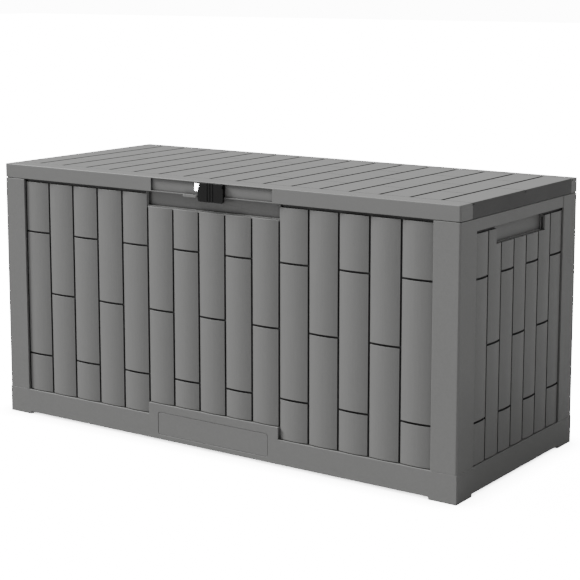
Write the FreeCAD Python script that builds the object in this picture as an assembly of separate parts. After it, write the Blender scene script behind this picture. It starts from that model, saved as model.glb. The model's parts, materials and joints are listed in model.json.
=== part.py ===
import FreeCAD, Part
import math
import os

# Resin deck storage box, in millimetres. Origin: centre of the footprint on the ground.
# +Z up, the front faces -Y, the long side runs along X.

# Overall sizes
length = 1200.0
depth = 520.0
height = 590.0

# Clearances
fit_gap = 0.3
run_gap = 0.05
lid_gap = 1.2
touch_overlap = 0.5

# Base frame
foot_height = 6.0
foot_length = 64.0
foot_leg = 30.0
base_height = 60.0
raised_block_rise = 26.0
base_wall = 4.0
shelf_thickness = 4.0
inner_wall = 3.0
upstand_rise = 14.0
floor_flange = 16.0
floor_flange_thickness = 3.0
floor_level = 19.0
floor_thickness = 4.0
floor_rib_depth = 10.0
floor_rib_count_long = 3
floor_rib_count_cross = 7
rib_thickness = 3.0
base_rib_pitch = 150.0

# Badge plate, left blank
badge_length = 296.0
badge_height = 49.0
badge_thickness = 1.2
badge_low = 18.0
badge_set_in = 0.3
badge_gap = 0.8
badge_radius = 5.0

# Corner posts
post_front = 60.0
post_side = 66.0
post_wall = 4.0
post_radius = 4.0
tongue = 12.0

# Stave walls; depths are measured inward from the outer envelope
stave_set_back = 2.0
front_crown = 3.5
side_crown = 2.0
groove_width = 4.0
side_groove_width = 3.0
groove_depth = 3.0
wall_inner_face = 11.0
pocket_face = 7.5
pocket_side = 5.0
pocket_end = 16.0
joint_height = 4.0
section_half = 175.5
staves_per_section = 5
side_staves = 7
high_joint = 436.0
middle_joint = 296.0
low_joint = 148.0
stave_foot_gap = 1.5
skirt_gap = 5.3
lap_width = 12.0
lap_root = 8.0
lap_thickness = 2.5
lap_margin = 20.0

# Hand recess across the centre of the front
recess_sill = 524.0
recess_half = 177.5
recess_depth = 14.5
recess_step_depth = 7.5
recess_step = 2.5
recess_wall = 3.0
recess_shelf = 3.0

# Top bands: flat rails above the staves on the sides and the back
band_low = 532.0
side_band_set_back = 1.0
back_band_set_back = 3.0
band_gap = 5.8

# Handle cups
handle_half = 108.0
handle_low = 495.0
handle_depth = 14.5
handle_rim = 2.0
handle_wall = 3.0
handle_top = 541.0
handle_grip_thickness = 7.0

# Lid
lid_height = 32.0
lid_wall = 4.0
lid_top = 5.0
plank_count = 17
plank_pitch = 70.9
plank_groove_width = 5.5
plank_groove_depth = 2.5
lid_front_border = 46.5
lid_back_border = 30.0
cross_groove_width = 1.8
cross_groove_depth = 1.0
end_notch_width = 10.0
end_notch_height = 5.0
end_notch_depth = 1.0
pocket_half = 161.0
pocket_low = 2.4
pocket_lip = 2.8
pocket_depth = 4.0
pocket_backing = 4.0
lug_left = -71.0
lug_right = -31.0
lug_reach = 4.5
lug_drop = 3.5
lug_hole_x = -41.0
lug_hole_radius = 3.5
lug_hole_edge = 1.2
boss_thickness = 7.0

# Lid liner
liner_drop = 19.0
liner_thickness = 2.5
liner_gap = 2.0
liner_ribs_long = 3
liner_ribs_cross = 5
liner_boss_radius = 5.0
liner_screw_plank = 2
liner_screw_plank_outer = 7
liner_screw_y = 190.0

# Hinges
hinge_spacing = 430.0
hinge_length = 80.0
hinge_leaf_thickness = 1.5
hinge_leaf_body = 25.0
hinge_leaf_lid = 24.0
barrel_radius = 3.7
barrel_offset = 1.5
pin_radius = 2.0
knuckle_end = 24.0
knuckle_gap = 0.5
leaf_relief = 4.5
hinge_screw_x = 26.0
hinge_screw_z = 15.0

# Latch
latch_x = 5.0
latch_width = 67.0
latch_proud = 5.2
latch_pivot_drop = 3.5
latch_pivot_radius = 2.4
latch_pin_radius = 1.1
latch_length = 39.0
latch_corner = 4.5
latch_shoulder = 2.5
ear_thickness = 1.6
ear_length = 7.0
ear_inset = 2.5
ear_clearance = 0.8
lever_thickness = 4.8
housing_back = 1.6
housing_margin = 1.5
latch_plate_left = 48.0
latch_plate_right = 26.0
latch_plate_thickness = 1.2
latch_plate_low = 10.2
latch_plate_height = 16.2
latch_groove_pitch = 7.3
latch_groove_width = 2.6
latch_groove_depth = 0.9
hook_half = 10.0
hook_thickness = 3.0
hook_reach = 9.4
hook_lift = 1.2
catch_half = 18.0
catch_thickness = 1.2
catch_lip = 8.0
catch_margin = 1.0
latch_screw_x = 20.0

# Gas struts
strut_radius = 250.0
strut_post_margin = 1.0
strut_stud_drop = 4.0
strut_plane = 27.0
lid_open_angle = 85.0
cylinder_radius = 7.5
cylinder_bore = 6.0
cylinder_start = 10.0
cylinder_cap = 6.0
piston_spare = 5.5
rod_radius = 3.0
piston_start = 18.0
piston_length = 8.0
socket_radius = 7.0
socket_thickness = 8.0
stud_radius = 3.0
bracket_plate = 2.0
bracket_width = 30.0
bracket_height = 40.0
open_pivot_gap = 0.5
clip_thickness = 2.0
clip_radius = 5.0

# Screws
screw_radius = 2.0
screw_head_radius = 4.0
screw_head_height = 2.2
small_screw_radius = 1.5
small_head_radius = 2.8
small_head_height = 1.4

# Worked-out places
half_length = length / 2
half_depth = depth / 2
lid_bottom = height - lid_height
wall_top = lid_bottom - lid_gap
raised_top = base_height + raised_block_rise
shell_underside = height - lid_top
pocket_bottom_z = lid_bottom + pocket_low
pocket_top = height - pocket_lip
front_section_end = half_length - post_front
side_end = half_depth - post_side
groove_face = stave_set_back + front_crown + groove_depth
side_groove_face = stave_set_back + side_crown + groove_depth
inner_leg_face = wall_inner_face + fit_gap
inner_leg_back = inner_leg_face + inner_wall
hinge_y = half_depth + barrel_offset
hinge_z = lid_bottom - touch_overlap
hinge_face = half_depth - back_band_set_back
latch_front = half_depth + latch_proud
pivot_y = -(latch_front - latch_pivot_radius)
pivot_z = height - latch_pivot_drop
lever_low = pivot_z - latch_length
lever_shoulder = pivot_z - ear_length - ear_clearance
pocket_back_y = -(half_depth - pocket_depth)


def box(x0, x1, y0, y1, z0, z1):
    """A block between two corners."""
    return Part.makeBox(x1 - x0, y1 - y0, z1 - z0, FreeCAD.Vector(x0, y0, z0))


def rod_x(radius, x0, x1, y, z):
    """A cylinder along X."""
    return Part.makeCylinder(radius, x1 - x0, FreeCAD.Vector(x0, y, z), FreeCAD.Vector(1, 0, 0))


def join(pieces):
    """One clean solid from several touching pieces."""
    return pieces[0].multiFuse(pieces[1:]).removeSplitter()


def turn_z(shape, degrees):
    """A copy of the shape turned about the vertical through the origin."""
    turned = shape.copy()
    turned.rotate(FreeCAD.Vector(0, 0, 0), FreeCAD.Vector(0, 0, 1), degrees)
    return turned


def move(shape, x, y, z):
    """A copy of the shape moved by x, y, z."""
    moved = shape.copy()
    moved.translate(FreeCAD.Vector(x, y, z))
    return moved


def mirror_x(shape):
    """A copy of the shape mirrored left to right."""
    return shape.mirror(FreeCAD.Vector(0, 0, 0), FreeCAD.Vector(1, 0, 0))


def mirror_y(shape):
    """A copy of the shape mirrored front to back."""
    return shape.mirror(FreeCAD.Vector(0, 0, 0), FreeCAD.Vector(0, 1, 0))


# Walls are drawn with their outer envelope on y = 0 and their inside towards +Y,
# then one of these puts them on a side of the box.
def on_front(shape):
    return move(shape, 0, -half_depth, 0)


def on_back(shape):
    return move(turn_z(shape, 180), 0, half_depth, 0)


def on_right(shape):
    return move(turn_z(shape, 90), half_length, 0, 0)


def on_left(shape):
    return move(turn_z(shape, -90), -half_length, 0, 0)


def screw_between(start, direction, length_in, radius, head_radius, head_height):
    """A screw whose head sits on start, outside the piece, and whose shank runs along direction."""
    shank = Part.makeCylinder(radius, length_in, start, direction)
    head = Part.makeCylinder(head_radius, head_height, start, direction * -1)
    return join([shank, head])


def screw_hole(start, direction, length_in, radius):
    """The hole that a screw of this size passes through, with running clearance."""
    back = start - direction * touch_overlap
    return Part.makeCylinder(radius + run_gap, length_in + 2 * touch_overlap, back, direction)


def stave(u0, u1, z0, z1, crown, root):
    """A crowned board: flat at the root depth, bowed outward across its width."""
    edge = stave_set_back + crown
    middle = (u0 + u1) / 2
    a = FreeCAD.Vector(u0, edge, z0)
    b = FreeCAD.Vector(middle, stave_set_back, z0)
    c = FreeCAD.Vector(u1, edge, z0)
    d = FreeCAD.Vector(u1, root, z0)
    e = FreeCAD.Vector(u0, root, z0)
    edges = [
        Part.Arc(a, b, c).toShape(),
        Part.LineSegment(c, d).toShape(),
        Part.LineSegment(d, e).toShape(),
        Part.LineSegment(e, a).toShape(),
    ]
    return Part.Face(Part.Wire(edges)).extrude(FreeCAD.Vector(0, 0, z1 - z0))


def stave_joints(number):
    """Heights of the cross joints: outer, then inner, board by board."""
    if number % 2 == 0:
        return [low_joint, high_joint]
    return [middle_joint]


def stave_pieces(u0, u1, z0, z1, number, crown, gap, root):
    """One board of the wall, split at its cross joints."""
    pieces = []
    low = z0
    for joint in stave_joints(number):
        if low + joint_height < joint < z1 - joint_height:
            pieces.append(stave(u0 + gap / 2, u1 - gap / 2, low, joint - joint_height / 2, crown, root))
            low = joint + joint_height / 2
    pieces.append(stave(u0 + gap / 2, u1 - gap / 2, low, z1, crown, root))
    return pieces


def stave_wall(u0, u1, count, first, z0, z1, stave_top, crown, gap, root):
    """A moulded panel: backing sheet, crowned boards outside, lightening pockets inside."""
    pitch = (u1 - u0) / count
    pieces = [box(u0, u1, root, wall_inner_face, z0, z1)]
    for i in range(count):
        left = u0 + i * pitch
        boards = stave_pieces(
            left, left + pitch, z0 + stave_foot_gap, stave_top, first + i, crown, gap, root
        )
        pieces += boards
    wall = join(pieces)
    for i in range(count):
        left = u0 + i * pitch + gap / 2 + pocket_side
        right = u0 + (i + 1) * pitch - gap / 2 - pocket_side
        low = z0 + pocket_end
        for joint in stave_joints(first + i) + [stave_top]:
            if joint - pocket_side - low > pocket_end:
                wall = wall.cut(box(left, right, pocket_face, wall_inner_face + 1, low, joint - pocket_side))
            low = joint + pocket_side
    return wall


def post_tongue(u_end, z0, z1):
    """The edge strip that slides into a post, at the far end of a wall."""
    start = min(u_end, u_end + math.copysign(tongue, u_end))
    return box(start, start + tongue, post_wall + fit_gap, wall_inner_face, z0, z1)


def base_screw_staves():
    """Every other board of a section takes a screw at its foot."""
    return range(0, staves_per_section, 2)


def section_board_centre(number):
    """Distance from the middle of the box to the middle of an outer-section board."""
    pitch = (front_section_end - section_half) / staves_per_section
    return section_half + (number + 0.5) * pitch


def centre_board_x(number):
    """Place across the box of a centre-section board."""
    pitch = 2 * section_half / staves_per_section
    return -section_half + (number + 0.5) * pitch


def side_board_y(number):
    """Place of a side board along the box's depth."""
    return -side_end + (number + 0.5) * 2 * side_end / side_staves


def base_screw_places():
    """Foot screws as (wall, place along the wall, height)."""
    rise = upstand_rise / 2
    places = []
    for number in base_screw_staves():
        for sign in (-1, 1):
            places.append((on_front, sign * section_board_centre(number), base_height + rise))
            places.append((on_back, sign * section_board_centre(number), base_height + rise))
        places.append((on_front, centre_board_x(number), raised_top + rise))
        places.append((on_back, centre_board_x(number), base_height + rise))
    for number in (1, side_staves - 2):
        places.append((on_right, side_board_y(number), base_height + rise))
        places.append((on_left, side_board_y(number), base_height + rise))
    return places


screw_reach = 9.0
outward = FreeCAD.Vector(0, -1, 0)


def foot_screw(u, z):
    """A foot screw drawn in the wall's own frame, driven from inside the box."""
    start = FreeCAD.Vector(u, inner_leg_back, z)
    return screw_between(start, outward, screw_reach, screw_radius, screw_head_radius, screw_head_height)


def foot_screw_hole(u, z):
    start = FreeCAD.Vector(u, inner_leg_back, z)
    return screw_hole(start, outward, screw_reach, screw_radius)


def cut_foot_screws(shape, walls):
    """Drill the foot screws of the given walls."""
    for place, u, z in base_screw_places():
        if place in walls:
            shape = shape.cut(place(foot_screw_hole(u, z)))
    return shape


def lap_screw_heights(z0, z1):
    """Three heights for the screws down a lap strip."""
    return [z0 + (z1 - z0) * part for part in (0.1, 0.5, 0.9)]


def lap_span(front):
    """The lap strip's lowest and highest points."""
    if front:
        return raised_top + lap_margin, recess_sill - recess_shelf - recess_step
    return base_height + lap_margin, band_low - lap_margin


def lap_screw(u, z):
    start = FreeCAD.Vector(u, wall_inner_face + lap_thickness, z)
    reach = lap_thickness + wall_inner_face - groove_face - fit_gap
    return start, reach


def lap_screws_of(sign, front):
    """Start points and reach of one lap strip's screws, in the wall's frame."""
    low, high = lap_span(front)
    u = sign * (section_half - lap_width / 2)
    return [lap_screw(u, z) for z in lap_screw_heights(low, high)]


def outer_section(sign, front):
    """A front or back outer section, with the tongue for the post and the lap for the centre."""
    top = wall_top - skirt_gap if front else band_low - band_gap
    first = 0 if sign < 0 else 2 * staves_per_section
    u0 = section_half + fit_gap / 2
    u1 = front_section_end
    span = (u0, u1) if sign > 0 else (-u1, -u0)
    wall = stave_wall(
        span[0], span[1], staves_per_section, first, base_height, wall_top, top,
        front_crown, groove_width, groove_face
    )
    low, high = lap_span(front)
    lap = box(section_half - lap_width, section_half + lap_root, wall_inner_face,
              wall_inner_face + lap_thickness, low, high)
    extras = [post_tongue(sign * front_section_end, base_height, wall_top)]
    extras.append(lap if sign > 0 else mirror_x(lap))
    if front:
        cheek = box(recess_half, recess_half + recess_wall, stave_set_back + front_crown,
                    recess_depth + recess_wall, recess_sill - recess_shelf, wall_top)
        extras.append(cheek if sign > 0 else mirror_x(cheek))
    else:
        extras.append(box(span[0], span[1], back_band_set_back, wall_inner_face, band_low, wall_top))
    wall = join([wall] + extras)
    if front:
        notch = box(0, recess_half, 0, wall_inner_face + 1, recess_sill - recess_shelf, height)
        wall = wall.cut(notch if sign > 0 else mirror_x(notch))
    for start, reach in lap_screws_of(sign, front):
        wall = wall.cut(screw_hole(start, outward, reach, small_screw_radius))
    return wall


def centre_section(front):
    """The centre section; the front one is set back under the lid as a hand recess."""
    u1 = section_half - fit_gap / 2
    z0 = raised_top if front else base_height
    top = recess_sill if front else band_low - band_gap
    wall_end = recess_sill if front else wall_top
    wall = stave_wall(
        -u1, u1, staves_per_section, staves_per_section, z0, wall_end, top,
        front_crown, groove_width, groove_face
    )
    if front:
        reach = recess_half - fit_gap
        back = recess_depth + recess_wall
        shelf_low = recess_sill - recess_shelf
        pieces = [
            wall,
            box(-u1, u1, groove_face, back, shelf_low, recess_sill),
            box(-u1, u1, stave_set_back + front_crown, groove_face, shelf_low, recess_sill),
            box(-reach, reach, recess_depth, back, shelf_low, wall_top),
            box(-reach, reach, recess_step_depth, back,
                recess_sill - touch_overlap, recess_sill + recess_step),
        ]
        for sign in (-1, 1):
            strip = box(reach - recess_step, reach, recess_step_depth, back, recess_sill, wall_top)
            pieces.append(strip if sign > 0 else mirror_x(strip))
        wall = join(pieces)
    else:
        wall = join([wall, box(-u1, u1, back_band_set_back, wall_inner_face, band_low, wall_top)])
    for sign in (-1, 1):
        for start, reach in lap_screws_of(sign, front):
            wall = wall.cut(screw_hole(start, outward, reach, small_screw_radius))
    return wall


def side_section():
    """A side wall with its flat top band and the opening for the handle cup."""
    wall = stave_wall(
        -side_end, side_end, side_staves, 0, base_height, wall_top, band_low - band_gap,
        side_crown, side_groove_width, side_groove_face
    )
    pieces = [wall, box(-side_end, side_end, side_band_set_back, wall_inner_face, band_low, wall_top)]
    for sign in (-1, 1):
        pieces.append(post_tongue(sign * side_end, base_height, wall_top))
    wall = join(pieces)
    opening = box(-handle_half, handle_half, -1, wall_inner_face + 1, handle_low, band_low)
    grip_space = box(-handle_half, handle_half, side_band_set_back + handle_grip_thickness,
                     wall_inner_face + 1, handle_low, handle_top)
    return wall.cut(opening).cut(grip_space)


def corner_post():
    """The front right post: an outer angle with a channel for each wall's tongue."""
    z0 = base_height
    z1 = wall_top
    x1 = half_length
    y1 = half_depth
    web_x = front_section_end + tongue + fit_gap
    web_y = side_end + tongue + fit_gap
    angle = join([
        box(front_section_end + fit_gap, x1, -y1, -y1 + post_wall, z0, z1),
        box(x1 - post_wall, x1, -y1, -side_end - fit_gap, z0, z1),
    ])
    corner = [e for e in angle.Edges
              if abs(e.BoundBox.XMin - x1) < fit_gap and abs(e.BoundBox.YMin + y1) < fit_gap
              and e.BoundBox.XLength < fit_gap and e.BoundBox.YLength < fit_gap]
    angle = angle.makeFillet(post_radius, corner)
    return join([
        angle,
        box(web_x, web_x + inner_wall, -y1 + touch_overlap, -y1 + inner_leg_back, z0, z1),
        box(front_section_end + fit_gap, web_x + inner_wall,
            -y1 + inner_leg_face, -y1 + inner_leg_back, z0, z1),
        box(x1 - inner_leg_back, x1 - touch_overlap, -web_y - inner_wall, -web_y, z0, z1),
        box(x1 - inner_leg_back, x1 - inner_leg_face, -web_y - inner_wall, -side_end - fit_gap, z0, z1),
    ])


def ring(outer_inset, inner_inset, z0, z1):
    """A rectangular ring that follows the footprint."""
    outer = box(-half_length + outer_inset, half_length - outer_inset,
                -half_depth + outer_inset, half_depth - outer_inset, z0, z1)
    inner = box(-half_length + inner_inset, half_length - inner_inset,
                -half_depth + inner_inset, half_depth - inner_inset, z0 - 1, z1 + 1)
    return outer.cut(inner)


def base_ribs():
    """Webs across the hollow plinth, about every base_rib_pitch."""
    ribs = []
    for half_span, place_pair in ((half_length, (on_front, on_back)), (half_depth, (on_left, on_right))):
        count = int(2 * half_span / base_rib_pitch)
        for i in range(1, count):
            u = -half_span + i * 2 * half_span / count
            web = box(u - rib_thickness / 2, u + rib_thickness / 2, base_wall - touch_overlap,
                      inner_leg_face + touch_overlap, foot_height + rib_thickness, base_height - touch_overlap)
            ribs += [place(web) for place in place_pair]
    return ribs


def foot():
    """The L-shaped foot under the front right corner, with a chamfered end on each leg."""
    x1 = half_length
    y1 = half_depth
    legs = join([
        box(x1 - foot_length, x1, -y1, -y1 + foot_leg, 0, foot_height + touch_overlap),
        box(x1 - foot_leg, x1, -y1, -y1 + foot_length, 0, foot_height + touch_overlap),
    ])
    ends = [e for e in legs.Edges
            if e.BoundBox.ZMax < touch_overlap
            and (e.BoundBox.XMax < x1 - foot_length + fit_gap or e.BoundBox.YMin > -y1 + foot_length - fit_gap)]
    return legs.makeChamfer(foot_height / 3, ends)


def base_frame():
    """The plinth: outer skin, shelf for the walls, inner skin, floor ledge and four feet."""
    end_x = front_section_end - foot_height
    end_y = side_end - foot_height
    pieces = [
        ring(0, base_wall, foot_height, base_height),
        ring(0, inner_leg_back, base_height - shelf_thickness, base_height),
        ring(inner_leg_face, inner_leg_back, floor_level - floor_flange_thickness, base_height),
        ring(inner_leg_face, inner_leg_back + floor_flange, floor_level - floor_flange_thickness, floor_level),
    ]
    top = base_height + upstand_rise
    for place, end in ((on_front, end_x), (on_back, end_x), (on_left, end_y), (on_right, end_y)):
        pieces.append(place(box(-end, end, inner_leg_face, inner_leg_back, base_height - touch_overlap, top)))
    block = section_half - fit_gap
    raised = [
        box(-block, block, 0, base_wall, base_height - touch_overlap, raised_top),
        box(-block, block, 0, inner_leg_back, raised_top - shelf_thickness, raised_top),
        box(-block, block, inner_leg_face, inner_leg_back, base_height, raised_top + upstand_rise),
        box(-block, -block + inner_wall, 0, inner_leg_back, base_height - touch_overlap, raised_top),
        box(block - inner_wall, block, 0, inner_leg_back, base_height - touch_overlap, raised_top),
    ]
    pieces += [on_front(piece) for piece in raised]
    pieces += base_ribs()
    corner = foot()
    pieces += [corner, mirror_x(corner), mirror_y(corner), mirror_x(mirror_y(corner))]
    frame = join(pieces)
    pocket = on_front(badge_block(badge_gap, 0, badge_thickness + badge_set_in))
    frame = frame.cut(pocket)
    return cut_foot_screws(frame, (on_front, on_back, on_left, on_right))


def badge_block(margin, start, thickness):
    """The badge's rounded rectangle, grown by a margin."""
    half = badge_length / 2 + margin
    low = badge_low - margin
    high = badge_low + badge_height + margin
    block = box(-half, half, start, start + thickness, low, high)
    edges = [e for e in block.Edges if e.BoundBox.YLength > thickness / 2]
    return block.makeFillet(badge_radius + margin, edges)


def badge_plate():
    """The blank name plate let into the plinth."""
    return on_front(badge_block(0, badge_set_in, badge_thickness))


def floor_panel():
    """The floor: a sheet on the plinth's ledge with a grid of ribs below."""
    inset = inner_leg_back + fit_gap
    half_x = half_length - inset
    half_y = half_depth - inset
    pieces = [box(-half_x, half_x, -half_y, half_y, floor_level, floor_level + floor_thickness)]
    rib_x = half_x - floor_flange - fit_gap
    rib_y = half_y - floor_flange - fit_gap
    low = floor_level - floor_rib_depth
    high = floor_level + touch_overlap
    for i in range(floor_rib_count_long):
        y = -rib_y + (i + 1) * 2 * rib_y / (floor_rib_count_long + 1)
        pieces.append(box(-rib_x, rib_x, y - rib_thickness / 2, y + rib_thickness / 2, low, high))
    for i in range(floor_rib_count_cross):
        x = -rib_x + (i + 1) * 2 * rib_x / (floor_rib_count_cross + 1)
        pieces.append(box(x - rib_thickness / 2, x + rib_thickness / 2, -rib_y, rib_y, low, high))
    return join(pieces)


def handle_cup():
    """The cup behind the handle opening; it rises behind the band, which is the grip."""
    face = wall_inner_face
    back = max(handle_depth, face) + handle_wall
    lip = handle_half + 2 * handle_wall
    low = handle_low + handle_rim
    half = handle_half - handle_rim
    outer = join([
        box(-half - handle_wall, half + handle_wall, face, back, low - handle_wall, handle_top + handle_wall),
        box(-lip, lip, face, face + handle_wall / 2, low - 2 * handle_wall, handle_top + 2 * handle_wall),
    ])
    return outer.cut(box(-half, half, face - 1, back - handle_wall, low, handle_top))


def cross_joint(x0, x1, y):
    """A thin joint along X in the lid's top."""
    return box(x0, x1, y - cross_groove_width / 2, y + cross_groove_width / 2,
               height - cross_groove_depth, height + 1)


def lid_planks():
    """Grooves between the planks, the thin joints across them and their notches at the lid's ends."""
    cuts = []
    groove_count = plank_count - 1
    y0 = -half_depth + lid_front_border
    y1 = half_depth - lid_back_border
    floor = height - plank_groove_depth
    for i in range(groove_count):
        x = (i - (groove_count - 1) / 2) * plank_pitch
        cuts.append(box(x - plank_groove_width / 2, x + plank_groove_width / 2, y0, y1, floor, height + 1))
    for i in range(plank_count):
        centre = (i - (plank_count - 1) / 2) * plank_pitch
        left = max(centre - plank_pitch / 2, -half_length - 1)
        right = min(centre + plank_pitch / 2, half_length + 1)
        if i == 0:
            left = -half_length - 1
        if i == plank_count - 1:
            right = half_length + 1
        quarter = (y1 - y0) / 4
        places = [y0 + quarter, y1 - quarter] if i % 2 else [(y0 + y1) / 2]
        for y in places:
            cuts.append(cross_joint(left, right, y))
    for y in (y0, y1):
        cuts.append(cross_joint(-half_length - 1, half_length + 1, y))
    for y in (y0, (y0 + y1) / 2, y1):
        for x in (-half_length, half_length):
            cuts.append(box(x - end_notch_depth, x + end_notch_depth, y - end_notch_width / 2,
                            y + end_notch_width / 2, height - end_notch_height, height + 1))
    return cuts


def padlock_lug():
    """The rounded ear on the lid's lower lip, with its eye."""
    radius = lug_reach
    thick_low = lid_bottom - lug_drop
    thick_high = pocket_bottom_z
    front = -half_depth - lug_reach
    ear = join([
        box(lug_left + radius, lug_right - radius, front, -half_depth + lid_wall, thick_low, thick_high),
        Part.makeCylinder(radius, thick_high - thick_low,
                          FreeCAD.Vector(lug_left + radius, -half_depth, thick_low)),
        Part.makeCylinder(radius, thick_high - thick_low,
                          FreeCAD.Vector(lug_right - radius, -half_depth, thick_low)),
    ])
    eye_centre = FreeCAD.Vector(lug_hole_x, front + lug_hole_edge + lug_hole_radius, thick_low - 1)
    eye = Part.makeCylinder(lug_hole_radius, thick_high - thick_low + 2, eye_centre)
    return ear, eye


def hinge_places():
    """Middle of each hinge across the back."""
    return {"left": -hinge_spacing, "centre": 0.0, "right": hinge_spacing}


def hinge_screw_points(centre, lid):
    """Screw heads on the outside of a leaf."""
    z = hinge_z + hinge_screw_z if lid else hinge_z - hinge_screw_z
    y = hinge_face + hinge_leaf_thickness
    return [FreeCAD.Vector(centre + s * hinge_screw_x, y, z) for s in (-1, 1)]


hinge_screw_reach = 7.0
inward = FreeCAD.Vector(0, -1, 0)


def cut_hinge_screws(shape, lid):
    for centre in hinge_places().values():
        for point in hinge_screw_points(centre, lid):
            shape = shape.cut(screw_hole(point, inward, hinge_screw_reach, small_screw_radius))
    return shape


def liner_screw_points():
    """Heads of the liner screws, under the lid."""
    z = shell_underside - liner_drop
    points = []
    for plank in (liner_screw_plank, liner_screw_plank_outer):
        for sx in (-1, 1):
            for sy in (-1, 1):
                points.append(FreeCAD.Vector(sx * plank * plank_pitch, sy * liner_screw_y, z))
    return points


up = FreeCAD.Vector(0, 0, 1)
liner_screw_reach = liner_drop + lid_top - plank_groove_depth


def lid_shell():
    """The lid's outer moulding: planked top, skirt, front pocket, hinge seats and padlock ear."""
    outer = box(-half_length, half_length, -half_depth, half_depth, lid_bottom, height)
    corners = [e for e in outer.Edges if e.BoundBox.ZLength > lid_height / 2]
    outer = outer.makeFillet(post_radius, corners)
    inner = box(-half_length + lid_wall, half_length - lid_wall,
                -half_depth + lid_wall, half_depth - lid_wall, lid_bottom - 1, shell_underside)
    shell = outer.cut(inner)
    backing = pocket_half + lid_wall
    extras = [box(-backing, backing, -half_depth + touch_overlap, pocket_back_y + pocket_backing,
                  lid_bottom, shell_underside + touch_overlap)]
    for centre in hinge_places().values():
        half = hinge_length / 2 + lid_wall
        extras.append(box(centre - half, centre + half, hinge_face - boss_thickness,
                          half_depth - touch_overlap, lid_bottom, shell_underside + touch_overlap))
    ear, eye = padlock_lug()
    shell = join([shell, ear] + extras)
    shell = shell.cut(eye)
    shell = shell.cut(box(-pocket_half, pocket_half, -half_depth - 1, pocket_back_y,
                          pocket_bottom_z, pocket_top))
    for centre in hinge_places().values():
        half = hinge_length / 2 + fit_gap
        shell = shell.cut(box(centre - half, centre + half, hinge_face, half_depth + 1,
                              lid_bottom - 1, hinge_z + hinge_leaf_lid + fit_gap))
    shell = shell.cut(Part.makeCompound(lid_planks()))
    shell = cut_hinge_screws(shell, True)
    for point in liner_screw_points():
        shell = shell.cut(screw_hole(point, up, liner_screw_reach - touch_overlap, small_screw_radius))
    for point in latch_screw_points():
        shell = shell.cut(screw_hole(point, latch_screw_way, latch_screw_reach, small_screw_radius))
    return shell


def lid_liner():
    """The lid's inner tray with stiffening ribs and screw bosses."""
    x1 = half_length - lid_wall - liner_gap
    y0 = pocket_back_y + pocket_backing + liner_gap
    y1 = hinge_face - boss_thickness - liner_gap
    low = shell_underside - liner_drop
    high = shell_underside
    tray = box(-x1, x1, y0, y1, low, high)
    hollow = box(-x1 + liner_thickness, x1 - liner_thickness, y0 + liner_thickness, y1 - liner_thickness,
                 low + liner_thickness, high + 1)
    pieces = [tray.cut(hollow)]
    for i in range(liner_ribs_long):
        y = y0 + (i + 1) * (y1 - y0) / (liner_ribs_long + 1)
        pieces.append(box(-x1 + touch_overlap, x1 - touch_overlap,
                          y - liner_thickness / 2, y + liner_thickness / 2, low + touch_overlap, high))
    for i in range(liner_ribs_cross):
        x = -x1 + (i + 1) * 2 * x1 / (liner_ribs_cross + 1)
        pieces.append(box(x - liner_thickness / 2, x + liner_thickness / 2,
                          y0 + touch_overlap, y1 - touch_overlap, low + touch_overlap, high))
    for point in liner_screw_points():
        pieces.append(Part.makeCylinder(liner_boss_radius, liner_drop, point))
    liner = join(pieces)
    for point in liner_screw_points():
        liner = liner.cut(screw_hole(point, up, liner_screw_reach, small_screw_radius))
    return liner


def knuckle_spans(centre, lid):
    """Where a leaf's knuckles lie along the pin."""
    half = hinge_length / 2
    if lid:
        return [(centre - half + knuckle_end + knuckle_gap, centre + half - knuckle_end - knuckle_gap)]
    return [(centre - half, centre - half + knuckle_end), (centre + half - knuckle_end, centre + half)]


def hinge_leaf(centre, lid):
    """A flat leaf whose knuckles wrap the pin."""
    half = hinge_length / 2
    sign = 1 if lid else -1
    reach = hinge_leaf_lid if lid else hinge_leaf_body
    near = hinge_z + sign * leaf_relief
    far = hinge_z + sign * reach
    y0 = hinge_face
    y1 = hinge_face + hinge_leaf_thickness
    pieces = [box(centre - half, centre + half, y0, y1, min(near, far), max(near, far))]
    for x0, x1 in knuckle_spans(centre, lid):
        tab_end = near + sign * touch_overlap
        pieces.append(box(x0, x1, y0, y1, min(hinge_z, tab_end), max(hinge_z, tab_end)))
        pieces.append(rod_x(barrel_radius, x0, x1, hinge_y, hinge_z))
    leaf = join(pieces)
    leaf = leaf.cut(rod_x(pin_radius + run_gap, centre - half - 1, centre + half + 1, hinge_y, hinge_z))
    return cut_hinge_screws(leaf, lid)


def hinge_pin(centre):
    """A steel pin as long as the hinge."""
    half = hinge_length / 2
    return rod_x(pin_radius, centre - half, centre + half, hinge_y, hinge_z)


latch_screw_way = FreeCAD.Vector(0, 1, 0)
latch_screw_reach = pocket_backing + latch_plate_thickness + housing_back - fit_gap


def latch_screw_points():
    """Heads of the latch screws, on the housing's back."""
    y = pocket_back_y - latch_plate_thickness - housing_back
    z = pocket_bottom_z + latch_plate_low - pocket_low + latch_plate_height / 2
    return [FreeCAD.Vector(latch_x + s * latch_screw_x, y, z) for s in (-1, 1)]


def latch_plate():
    """The bright backing plate in the lid's pocket."""
    low = lid_bottom + latch_plate_low
    plate = box(latch_x - latch_plate_left, latch_x + latch_plate_right,
                pocket_back_y - latch_plate_thickness, pocket_back_y, low, low + latch_plate_height)
    for point in latch_screw_points():
        plate = plate.cut(screw_hole(point, latch_screw_way, latch_screw_reach, small_screw_radius))
    return plate


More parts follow.
